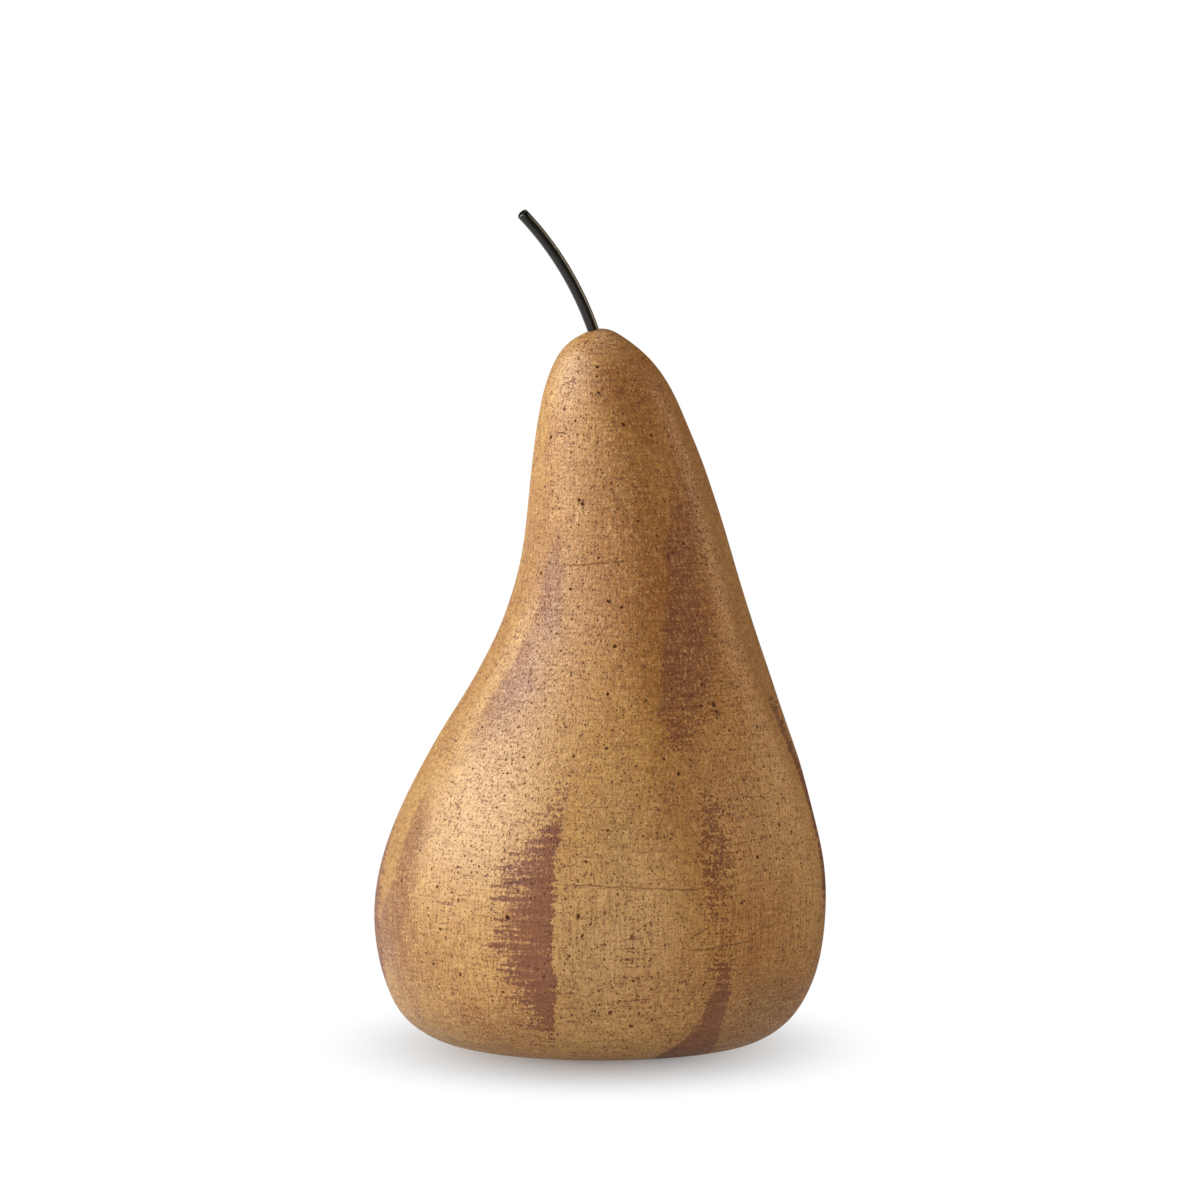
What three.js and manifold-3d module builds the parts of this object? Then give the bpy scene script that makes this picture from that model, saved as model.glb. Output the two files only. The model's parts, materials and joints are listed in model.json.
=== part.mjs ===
// An ornamental pear: one carved and painted body, and a bent wire stem set in its crown.
//
// Units are millimetres, with +Z up, +X to the right and the front towards -Y.
// The origin is the middle of the flat spot that the pear stands on.

import * as THREE from 'three';
import { mergeVertices } from 'three/addons/utils/BufferGeometryUtils.js';
import Module from 'manifold-3d';

const { degToRad, inverseLerp, lerp, smoothstep } = THREE.MathUtils;

// Body
const BODY_HEIGHT = 186.5;
const HALF_WIDTH = 58.5;
const DEPTH_TO_WIDTH = 0.97;

// Stem
const WIRE_DIAMETER = 3;
const WIRE_END_ROUNDING = 0.6;
const STEM_FOOT_X = -1.8;
const STEM_TURNED_TO_FRONT = degToRad(25);
const STEM_LEAN_AT_FOOT = degToRad(21);
const STEM_LEAN_AT_TIP = degToRad(46);
const STEM_BEND_RADIUS = 85;

// The drilled hole that holds the stem
const HOLE_CLEARANCE = 0.3;
const HOLE_DEPTH = 14;

// How finely the surfaces are divided
const BODY_RINGS = 44;
const BODY_SIDES = 72;
const WIRE_SIDES = 20;
const WIRE_STEP = 2.5;

// The outline from the front, from the left edge of the flat spot over the crown to its
// right edge: x in shares of the half width, z in shares of the height. The left side has
// a hollow waist and the right side runs down almost straight, so the neck leans right.
const FRONT_OUTLINE = [
  [-0.52, 0],
  [-0.605, 0.002],
  [-0.74, 0.0125],
  [-0.875, 0.042],
  [-0.965, 0.096],
  [-1.006, 0.172],
  [-0.98, 0.247],
  [-0.889, 0.33],
  [-0.711, 0.435],
  [-0.546, 0.5185],
  [-0.42, 0.602],
  [-0.347, 0.686],
  [-0.309, 0.79],
  [-0.274, 0.874],
  [-0.225, 0.937],
  [-0.147, 0.9785],
  [0.014, 1],
  [0.15, 0.9785],
  [0.274, 0.937],
  [0.405, 0.853],
  [0.523, 0.7485],
  [0.664, 0.602],
  [0.817, 0.456],
  [0.908, 0.372],
  [0.988, 0.2675],
  [1, 0.1935],
  [0.952, 0.1],
  [0.842, 0.0385],
  [0.7, 0.0095],
  [0.585, 0.002],
  [0.5, 0],
];

// The blade left flat strips that run from crown to foot. Each ridge between two strips is
// named by its direction in degrees, from the front towards the right, where it crosses the
// belly and where it crosses the neck. The ridges wander in between.
const RIDGES = [
  { belly: -57, neck: -58 },
  { belly: -18, neck: -33 },
  { belly: 29, neck: 0 },
  { belly: 76, neck: 52 },
  { belly: 122, neck: 106 },
  { belly: 167, neck: 160 },
  { belly: 213, neck: 211 },
  { belly: 262, neck: 262 },
];
const BELLY_LEVEL = 0.16 * BODY_HEIGHT;
const NECK_LEVEL = 0.62 * BODY_HEIGHT;

// A higher number gives flatter strips and sharper ridges. They fade out at foot and crown.
const STRIP_FLATNESS = 13;
const END_FLATNESS = 5;
const FOOT_ENDS = 0.12 * BODY_HEIGHT;
const CROWN_STARTS = 0.8 * BODY_HEIGHT;

const wasm = await Module();
wasm.setup();

// The front outline as a fine chain of points in millimetres.
function traceOutline() {
  const corners = FRONT_OUTLINE.map(
    ([x, z]) => new THREE.Vector3(x * HALF_WIDTH, 0, z * BODY_HEIGHT),
  );
  return new THREE.CatmullRomCurve3(corners, false, 'centripetal').getPoints(1200);
}

// Where one side of the outline lies at a height.
function outlineAt(side, height) {
  for (let i = 1; i < side.length; i += 1) {
    const below = side[i - 1];
    const above = side[i];
    if (above.z >= height) {
      return lerp(below.x, above.x, inverseLerp(below.z, above.z, height));
    }
  }
  return side.at(-1).x;
}

// Distance from the axis to the surface of a prism with soft edges and unit faces.
function softPrism(direction, faces, flatness) {
  let sum = 0;
  for (const face of faces) {
    sum += Math.max(0, Math.cos(direction - face)) ** flatness;
  }
  return sum ** (-1 / flatness);
}

// The directions that the strips face at a height: each is midway between two ridges.
function stripDirections(height) {
  const towardsNeck = smoothstep(height, BELLY_LEVEL, NECK_LEVEL);
  const ridges = RIDGES.map((ridge) => degToRad(lerp(ridge.belly, ridge.neck, towardsNeck)));
  return ridges.map((ridge, i) => {
    const next = i + 1 < ridges.length ? ridges[i + 1] : ridges[0] + 2 * Math.PI;
    return (ridge + next) / 2;
  });
}

// One ring of the body: a soft prism stretched to the reach that the outline gives.
function bodyRing(height, left, right) {
  const strips = stripDirections(height);
  const aboveFoot = smoothstep(height, 0, FOOT_ENDS);
  const belowCrown = 1 - smoothstep(height, CROWN_STARTS, BODY_HEIGHT);
  const flatness = lerp(END_FLATNESS, STRIP_FLATNESS, aboveFoot * belowCrown);
  const ring = [];
  for (let i = 0; i < BODY_SIDES; i += 1) {
    const direction = (2 * Math.PI * i) / BODY_SIDES;
    const reach = softPrism(direction, strips, flatness);
    ring.push(new THREE.Vector2(reach * Math.sin(direction), -reach * Math.cos(direction)));
  }
  const span = new THREE.Box2().setFromPoints(ring);
  const halfDepth = (DEPTH_TO_WIDTH * (right - left)) / 2;
  return ring.map((point) => new THREE.Vector3(
    lerp(left, right, inverseLerp(span.min.x, span.max.x, point.x)),
    lerp(-halfDepth, halfDepth, inverseLerp(span.min.y, span.max.y, point.y)),
    height,
  ));
}

// A closed skin over rings of points, with a middle point under the first and over the last.
function skinOver(rings, bottom, top) {
  const sides = rings[0].length;
  const points = [bottom, ...rings.flat(), top];
  const faces = [];
  const at = (ring, side) => 1 + ring * sides + (side % sides);
  for (let side = 0; side < sides; side += 1) {
    faces.push(0, at(0, side + 1), at(0, side));
    faces.push(points.length - 1, at(rings.length - 1, side), at(rings.length - 1, side + 1));
    for (let ring = 0; ring + 1 < rings.length; ring += 1) {
      const a = at(ring, side);
      const b = at(ring, side + 1);
      const c = at(ring + 1, side + 1);
      const d = at(ring + 1, side);
      faces.push(a, b, c, a, c, d);
    }
  }
  const skin = new THREE.BufferGeometry().setFromPoints(points);
  skin.setIndex(faces);
  return skin;
}

// The whole body before drilling. The rings are closest where the foot and crown turn over.
function carvedBody() {
  const outline = traceOutline();
  const crown = outline.reduce((best, point) => (point.z > best.z ? point : best));
  const leftSide = outline.slice(0, outline.indexOf(crown) + 1);
  const rightSide = outline.slice(outline.indexOf(crown)).reverse();
  const rings = [];
  for (let i = 0; i < BODY_RINGS; i += 1) {
    const height = (BODY_HEIGHT * (1 - Math.cos((Math.PI * i) / BODY_RINGS))) / 2;
    rings.push(bodyRing(height, outlineAt(leftSide, height), outlineAt(rightSide, height)));
  }
  return skinOver(
    rings,
    new THREE.Vector3(0, 0, 0),
    new THREE.Vector3(crown.x, 0, BODY_HEIGHT),
  );
}

// The level way that the stem bends, and the way that it points at a lean from upright.
const stemSide = new THREE.Vector3(
  -Math.cos(STEM_TURNED_TO_FRONT),
  -Math.sin(STEM_TURNED_TO_FRONT),
  0,
);
function stemDirection(lean) {
  return new THREE.Vector3(0, 0, Math.cos(lean)).addScaledVector(stemSide, Math.sin(lean));
}

// Where the stem's centre line leaves the body.
const stemFoot = new THREE.Vector3(STEM_FOOT_X, 0, BODY_HEIGHT - 0.3);

// A point on the centre line and the direction there, at a length along the wire from the
// foot: straight down in the hole, then one even bend.
function alongStem(length) {
  const lean = STEM_LEAN_AT_FOOT + Math.max(0, length) / STEM_BEND_RADIUS;
  const direction = stemDirection(lean);
  const point = stemFoot.clone();
  if (length < 0) {
    point.addScaledVector(direction, length);
  } else {
    point.z += STEM_BEND_RADIUS * (Math.sin(lean) - Math.sin(STEM_LEAN_AT_FOOT));
    const sideways = STEM_BEND_RADIUS * (Math.cos(STEM_LEAN_AT_FOOT) - Math.cos(lean));
    point.addScaledVector(stemSide, sideways);
  }
  return { point, direction };
}

// The stem: round wire with a rounded end, bent along its centre line.
function bentWire() {
  const radius = WIRE_DIAMETER / 2;
  const tip = STEM_BEND_RADIUS * (STEM_LEAN_AT_TIP - STEM_LEAN_AT_FOOT);
  const root = HOLE_CLEARANCE - HOLE_DEPTH;
  const shoulder = tip - WIRE_END_ROUNDING;
  const stations = [];
  const steps = Math.ceil((shoulder - root) / WIRE_STEP);
  for (let i = 0; i <= steps; i += 1) {
    stations.push({ length: lerp(root, shoulder, i / steps), radius });
  }
  for (let turn = 30; turn <= 90; turn += 30) {
    stations.push({
      length: shoulder + WIRE_END_ROUNDING * Math.sin(degToRad(turn)),
      radius: radius - WIRE_END_ROUNDING * (1 - Math.cos(degToRad(turn))),
    });
  }
  const acrossBend = new THREE.Vector3().crossVectors(stemSide, new THREE.Vector3(0, 0, 1));
  const rings = stations.map((station) => {
    const { point, direction } = alongStem(station.length);
    const inBend = new THREE.Vector3().crossVectors(direction, acrossBend);
    const ring = [];
    for (let i = 0; i < WIRE_SIDES; i += 1) {
      const angle = (2 * Math.PI * i) / WIRE_SIDES;
      ring.push(point.clone()
        .addScaledVector(acrossBend, station.radius * Math.cos(angle))
        .addScaledVector(inBend, station.radius * Math.sin(angle)));
    }
    return ring;
  });
  return skinOver(rings, alongStem(root).point, alongStem(tip).point);
}

// The drill, from the floor of the hole to well above the crown.
function drill() {
  const aboveCrown = 8;
  const length = HOLE_DEPTH + aboveCrown;
  const radius = WIRE_DIAMETER / 2 + HOLE_CLEARANCE;
  const bit = new THREE.CylinderGeometry(radius, radius, length, 24);
  const direction = stemDirection(STEM_LEAN_AT_FOOT);
  bit.applyQuaternion(new THREE.Quaternion().setFromUnitVectors(
    new THREE.Vector3(0, 1, 0),
    direction,
  ));
  const middle = stemFoot.clone().addScaledVector(direction, length / 2 - HOLE_DEPTH);
  return bit.translate(middle.x, middle.y, middle.z);
}

// A closed surface as a solid that can be cut, and back again.
function toSolid(geometry) {
  const bare = new THREE.BufferGeometry();
  bare.setAttribute('position', geometry.getAttribute('position').clone());
  bare.setIndex(geometry.getIndex());
  const merged = mergeVertices(bare);
  return new wasm.Manifold(new wasm.Mesh({
    numProp: 3,
    vertProperties: new Float32Array(merged.getAttribute('position').array),
    triVerts: new Uint32Array(merged.getIndex().array),
  }));
}

function toGeometry(solid) {
  const mesh = solid.getMesh();
  const geometry = new THREE.BufferGeometry();
  geometry.setAttribute('position', new THREE.BufferAttribute(mesh.vertProperties, 3));
  geometry.setIndex(new THREE.BufferAttribute(mesh.triVerts, 1));
  geometry.computeVertexNormals();
  return geometry;
}

const paintedBody = new THREE.MeshStandardMaterial({
  name: 'painted_body',
  color: '#a97e4f',
  roughness: 0.55,
  metalness: 0,
});
const blackLacquer = new THREE.MeshStandardMaterial({
  name: 'black_lacquer',
  color: '#1d1b1a',
  roughness: 0.3,
  metalness: 0,
});

const body = new THREE.Mesh(
  toGeometry(toSolid(carvedBody()).subtract(toSolid(drill()))),
  paintedBody,
);
body.name = 'pear_body';

const stem = new THREE.Mesh(bentWire(), blackLacquer);
stem.geometry.computeVertexNormals();
stem.name = 'stem';

const pear = new THREE.Group();
pear.add(body, stem);

export default pear;
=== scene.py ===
# %% [markdown]
# # A carved pear in worn ochre paint
#
# The real thing is a table ornament about 22 cm high. A pear shape is carved from light wood
# in long flat strips, brushed with a thick ground coat that dries full of pinholes, painted
# red-brown, and then dry-brushed with ochre so that the red-brown shows where the brush
# skipped. A bent black wire is glued in as its stem. This script dresses the carved solids:
# it wraps a fine skin round them, opens the pinholes, lays the paint and lights a small
# white studio.

# %% Load the carved solids
import json
import math

import bmesh
import bpy
import numpy as np
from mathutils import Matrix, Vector, noise
from mathutils.bvhtree import BVHTree

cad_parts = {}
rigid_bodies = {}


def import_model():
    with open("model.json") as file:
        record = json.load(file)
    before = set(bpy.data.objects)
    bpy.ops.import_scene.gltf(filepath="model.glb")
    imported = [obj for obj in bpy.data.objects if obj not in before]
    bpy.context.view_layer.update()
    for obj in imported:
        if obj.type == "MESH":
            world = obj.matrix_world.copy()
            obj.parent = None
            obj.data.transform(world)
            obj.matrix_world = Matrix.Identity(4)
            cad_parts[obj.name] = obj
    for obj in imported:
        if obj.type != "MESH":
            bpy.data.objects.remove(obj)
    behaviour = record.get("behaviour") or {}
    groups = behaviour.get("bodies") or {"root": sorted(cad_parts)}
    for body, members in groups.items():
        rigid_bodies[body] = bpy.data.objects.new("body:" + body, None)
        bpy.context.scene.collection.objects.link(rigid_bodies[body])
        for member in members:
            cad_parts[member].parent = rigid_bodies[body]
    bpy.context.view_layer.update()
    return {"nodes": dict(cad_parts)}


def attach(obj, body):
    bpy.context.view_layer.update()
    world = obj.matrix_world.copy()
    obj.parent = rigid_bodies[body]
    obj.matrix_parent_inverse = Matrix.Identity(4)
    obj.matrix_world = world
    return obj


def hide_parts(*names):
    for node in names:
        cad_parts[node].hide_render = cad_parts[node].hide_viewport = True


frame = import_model()
MM = 0.001

# %% [markdown]
# ## Two small helpers
#
# Paint charts give colours as sRGB hex values, while shaders work in linear light, so one
# function turns the first into the second. The other adds a node to any tree, with its
# settings and with what feeds it, so that each material below reads as a list of steps.

# %% Colour and node helpers


def linear(hex_colour):
    """An sRGB hex colour in linear light, with full alpha."""
    channels = [int(hex_colour[i:i + 2], 16) / 255 for i in (1, 3, 5)]
    lit = [c / 12.92 if c <= 0.04045 else ((c + 0.055) / 1.055) ** 2.4 for c in channels]
    return (*lit, 1.0)


def add_node(tree, kind, settings=None, inputs=None):
    """Adds a node. An input is a value, or the output socket that feeds it."""
    node = tree.nodes.new(kind)
    for name, value in (settings or {}).items():
        setattr(node, name, value)
    for key, value in (inputs or {}).items():
        if isinstance(value, bpy.types.NodeSocket):
            tree.links.new(value, node.inputs[key])
        else:
            node.inputs[key].default_value = value
    return node


print("middle grey in linear light:", [round(c, 3) for c in linear("#808080")])

# %% [markdown]
# ## The studio
#
# The photograph is a plain catalogue shot: a white sweep that burns out to pure white, a
# strong softbox on the left, a weak one high behind, weak warm fills in front and on the
# right, and a camera almost level with the object. The pear's shadow on the floor is painted:
# inside a soft oval round the foot the floor is a matt white board that no softbox lights, so
# it stays dark there, and further out it glows white, as an overlit sweep does, so that no
# horizon shows. The glow lights the pear more from the left than from the right.

# %% Camera
CAMERA_LIFT = math.radians(5.37)
CAMERA_DISTANCE = 3.0
FRAME_WIDTH = 0.31058
AIM_HEIGHT = 0.11606

camera_data = bpy.data.cameras.new("studio_camera")
camera_data.sensor_width = 36
camera_data.lens = 36 * CAMERA_DISTANCE / FRAME_WIDTH
camera = bpy.data.objects.new("studio_camera", camera_data)
camera.location = (
    0,
    -CAMERA_DISTANCE * math.cos(CAMERA_LIFT),
    AIM_HEIGHT + CAMERA_DISTANCE * math.sin(CAMERA_LIFT),
)
camera.rotation_euler = (math.pi / 2 - CAMERA_LIFT, 0, 0)
bpy.context.scene.collection.objects.link(camera)
bpy.context.scene.camera = camera
bpy.context.scene.view_settings.view_transform = "Standard"
print("lens:", round(camera_data.lens, 1), "mm")

# %% Softboxes
AIMED_AT = Vector((0, 0, 0.09))


def softbox(name, bearing, lift, size, watts, colour):
    """A light panel one metre off: bearing from the camera's side to the right, and lift."""
    panel = bpy.data.lights.new(name, "AREA")
    panel.shape = "RECTANGLE"
    panel.size = size[0]
    panel.size_y = size[1]
    panel.energy = watts
    panel.color = linear(colour)[:3]
    lamp = bpy.data.objects.new(name, panel)
    turn = math.radians(bearing)
    rise = math.radians(lift)
    away = Vector((
        math.sin(turn) * math.cos(rise),
        -math.cos(turn) * math.cos(rise),
        math.sin(rise),
    ))
    lamp.location = AIMED_AT + away
    lamp.rotation_euler = away.to_track_quat("Z", "Y").to_euler()
    bpy.context.scene.collection.objects.link(lamp)
    return lamp


SOFTBOXES = [
    ("key_softbox", -87, 32, (0.8, 0.5), 12.6, "#ffffff"),
    ("overhead_softbox", 180, 72, (0.5, 0.5), 2.0, "#ffffff"),
    ("front_fill", 0, 5, (0.5, 0.5), 4.3, "#ffe8c6"),
    ("right_fill", 100, 18, (0.5, 0.5), 4.3, "#ffe4c2"),
]
softboxes = [softbox(*choice) for choice in SOFTBOXES]
print("softboxes:", [lamp.name for lamp in softboxes])

# %% White sweep and surroundings
# The painted shadow: a soft oval round the foot, its half width and reach in metres.
PAINTED_SHADOW_HALF_WIDTH = 0.076
PAINTED_SHADOW_REACH = 0.113
GLOW_FROM_LEFT = 0.95
GLOW_FROM_RIGHT = 0.15
GLOW_CHANGES_OVER = (-0.02, 0.12)
HALF_SWEEP = 12
BOARD_WHITE = (0.76, 0.76, 0.76, 1)


def seen_white(tree, glow_on_pear):
    """Full white where the camera looks straight at it, and less as a light on the pear."""
    seen = add_node(tree, "ShaderNodeLightPath")
    level = add_node(tree, "ShaderNodeMapRange", None, {
        "Value": seen.outputs["Is Camera Ray"], "To Min": glow_on_pear, "To Max": 1.0,
    })
    return level.outputs["Result"]


def white_world():
    """White behind everything, and dark as a light: the softboxes do the lighting."""
    world = bpy.data.worlds.new("white_studio")
    world.use_nodes = True
    tree = world.node_tree
    tree.nodes.clear()
    glow = add_node(tree, "ShaderNodeBackground", None,
                    {"Color": (1, 1, 1, 1), "Strength": seen_white(tree, 0.0)})
    add_node(tree, "ShaderNodeOutputWorld", None, {"Surface": glow.outputs[0]})
    return world


def sweep_with_painted_shadow():
    """Matt white board, dark as a painted shadow inside a soft oval, burnt out to white outside.
    """
    board = bpy.data.materials.new("white_sweep_with_painted_shadow")
    board.use_nodes = True
    tree = board.node_tree
    tree.nodes.clear()
    place = add_node(tree, "ShaderNodeTexCoord")
    # The oval paints the shadow: matt board that no softbox lights inside, white glow outside.
    oval = add_node(tree, "ShaderNodeVectorMath", {"operation": "MULTIPLY"}, {
        0: place.outputs["Object"], 1: (1 / PAINTED_SHADOW_HALF_WIDTH, 1 / PAINTED_SHADOW_REACH, 0),
    })
    reach = add_node(tree, "ShaderNodeVectorMath", {"operation": "LENGTH"},
                     {0: oval.outputs["Vector"]})
    burnt_out = add_node(tree, "ShaderNodeMapRange", {"interpolation_type": "SMOOTHSTEP"},
                         {"Value": reach.outputs["Value"]})
    matt = add_node(tree, "ShaderNodeBsdfDiffuse", None, {"Color": BOARD_WHITE})
    parts = add_node(tree, "ShaderNodeSeparateXYZ", None, {0: place.outputs["Object"]})
    glow = add_node(tree, "ShaderNodeMapRange", None, {
        "Value": parts.outputs["X"],
        "From Min": GLOW_CHANGES_OVER[0],
        "From Max": GLOW_CHANGES_OVER[1],
        "To Min": GLOW_FROM_LEFT,
        "To Max": GLOW_FROM_RIGHT,
    })
    white = add_node(tree, "ShaderNodeEmission", None,
                     {"Strength": seen_white(tree, glow.outputs["Result"])})
    mixed = add_node(tree, "ShaderNodeMixShader", None, {
        "Fac": burnt_out.outputs["Result"], 1: matt.outputs[0], 2: white.outputs[0],
    })
    add_node(tree, "ShaderNodeOutputMaterial", None, {"Surface": mixed.outputs[0]})
    return board


bpy.context.scene.world = white_world()
sweep_mesh = bpy.data.meshes.new("sweep")
sweep_mesh.from_pydata(
    [(-HALF_SWEEP, -HALF_SWEEP, 0), (HALF_SWEEP, -HALF_SWEEP, 0),
     (HALF_SWEEP, HALF_SWEEP, 0), (-HALF_SWEEP, HALF_SWEEP, 0)],
    [], [(0, 1, 2, 3)],
)
sweep_mesh.materials.append(sweep_with_painted_shadow())
sweep = bpy.data.objects.new("sweep", sweep_mesh)
bpy.context.scene.collection.objects.link(sweep)

unlit = bpy.data.collections.new("not_lit_by_the_softboxes")
unlit.objects.link(sweep)
unlit.collection_objects[0].light_linking.link_state = "EXCLUDE"
for lamp in softboxes:
    lamp.light_linking.receiver_collection = unlit
print("studio: white sweep", 2 * HALF_SWEEP, "m wide, not lit by the softboxes")

# %% [markdown]
# ## The body's skin
#
# The carved solid is made of level rings of corners, 72 to a ring, joined by small flat
# faces. A knife and sandpaper leave no such faces, so the corners are read back ring by ring
# into a clean cage of four-sided faces, and a Subdivision Surface rounds it. The cage keeps
# the ridges between the flat strips where the carver left them. The ring nearest the crown
# is carried over the top as a small dome, which also closes the stem's hole until it is
# drilled again.

# %% Read the rings back
SIDES = 72
OFF_THE_AXIS = 0.5 * MM


def level_rings(node):
    """The whole rings of corners of a carved solid, from the foot up."""
    corners = {tuple(round(c, 6) for c in v.co) for v in frame["nodes"][node].data.vertices}
    by_height = {}
    for corner in corners:
        if math.hypot(corner[0], corner[1]) > OFF_THE_AXIS:
            by_height.setdefault(corner[2], []).append(corner)
    rings = []
    for height in sorted(by_height):
        ring = np.array(by_height[height])
        if len(ring) == SIDES:
            middle = ring.mean(axis=0)
            order = np.argsort(np.arctan2(ring[:, 1] - middle[1], ring[:, 0] - middle[0]))
            rings.append(ring[order])
    return rings, np.array(max(corners, key=lambda corner: corner[2]))


def line_up(ring, below):
    """Numbers a ring's corners from the one that stands over the first one below."""
    turns = [np.roll(ring, -turn, axis=0) for turn in range(SIDES)]
    return min(turns, key=lambda turned: np.linalg.norm(turned - below, axis=1).sum())


rings, crown = level_rings("pear_body")
for i in range(1, len(rings)):
    rings[i] = line_up(rings[i], rings[i - 1])
print(len(rings), "rings, from", rings[0][0, 2], "to", rings[-1][0, 2], "m; crown", crown)

# %% Build the cage and round it
CAP_SHARES = (0.75, 0.5, 0.25)
ROUNDING_LEVELS = 2


def cage_mesh(rings, crown):
    """A closed mesh of four-sided faces over the rings, with caps at foot and crown."""
    foot = rings[0].mean(axis=0)
    under = [foot + (rings[0] - foot) * share for share in reversed(CAP_SHARES)]
    over = [crown + (rings[-1] - crown) * (share, share, share ** 2) for share in CAP_SHARES]
    rows = under + rings + over
    mesh = bpy.data.meshes.new("painted_pear_body")
    shape = bmesh.new()
    levels = [[shape.verts.new(corner) for corner in row] for row in rows]
    bottom = shape.verts.new(foot)
    top = shape.verts.new(crown)
    for side in range(SIDES):
        after = (side + 1) % SIDES
        shape.faces.new((bottom, levels[0][after], levels[0][side]))
        shape.faces.new((top, levels[-1][side], levels[-1][after]))
        for low, high in zip(levels, levels[1:]):
            shape.faces.new((low[side], low[after], high[after], high[side]))
    shape.to_mesh(mesh)
    shape.free()
    return mesh


def apply_modifiers(obj):
    """Keeps the shape that an object's modifiers give it, and removes them."""
    finished = bpy.data.meshes.new_from_object(
        obj.evaluated_get(bpy.context.evaluated_depsgraph_get()),
    )
    obj.modifiers.clear()
    obj.data = finished


body = bpy.data.objects.new("painted_pear_body", cage_mesh(rings, crown))
bpy.context.scene.collection.objects.link(body)
rounding = body.modifiers.new("rounding", "SUBSURF")
rounding.levels = ROUNDING_LEVELS
rounding.render_levels = ROUNDING_LEVELS
apply_modifiers(body)
print("rounded cage:", len(body.data.polygons), "faces")

# %% Hand finish
WAVE_LENGTH = 16 * MM
WAVE_HEIGHT = 0.16 * MM
FLAT_FOOT = 4 * MM


def hand_finish(mesh):
    """The slight hollows and swells that sanding by hand leaves; the foot stays flat."""
    outward = [corner.normal.copy() for corner in mesh.vertices]
    for corner, normal in zip(mesh.vertices, outward):
        swell = noise.noise(corner.co / WAVE_LENGTH) * min(corner.co.z / FLAT_FOOT, 1)
        corner.co += normal * swell * WAVE_HEIGHT


hand_finish(body.data)
smooth_skin = body.data.copy()
print("skin:", len(body.data.polygons), "faces")

# %% [markdown]
# ## Pinholes
#
# The thick ground coat dries full of pinholes, from a hair's breadth to about a millimetre
# across. The larger ones are real hollows here, because they catch the light on their lower
# rims. Geometry Nodes scatter points over the skin, crowded together in places, put a small
# ball on each, turned to face outwards and stretched a little, and cut them all away in one
# Boolean. The stem's hole is drilled in the same cut, close round the wire.

# %% Stem measures that the drill needs
WIRE_RADIUS = 1.5 * MM
STEM_FOOT = Vector((-1.8 * MM, 0, crown[2] - 0.3 * MM))
STEM_LEAN_AT_FOOT = math.radians(21)
STEM_LEAN_AT_TIP = math.radians(46)
STEM_BEND_RADIUS = 85 * MM
STEM_ROOT = 13.7 * MM
TURNED_TO_FRONT = math.radians(25)
STEM_SIDE = Vector((-math.cos(TURNED_TO_FRONT), -math.sin(TURNED_TO_FRONT), 0))


def stem_direction(lean):
    """The way that the wire points at a lean from upright."""
    return STEM_SIDE * math.sin(lean) + Vector((0, 0, math.cos(lean)))


# %% The tree that opens the pinholes
LONGEST_PIT = 1.7
PIT_DEPTH_SHARE = 1.1
CROWDING = (0.4, 0.65)
LEAST_CROWDED = 0.08


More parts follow.
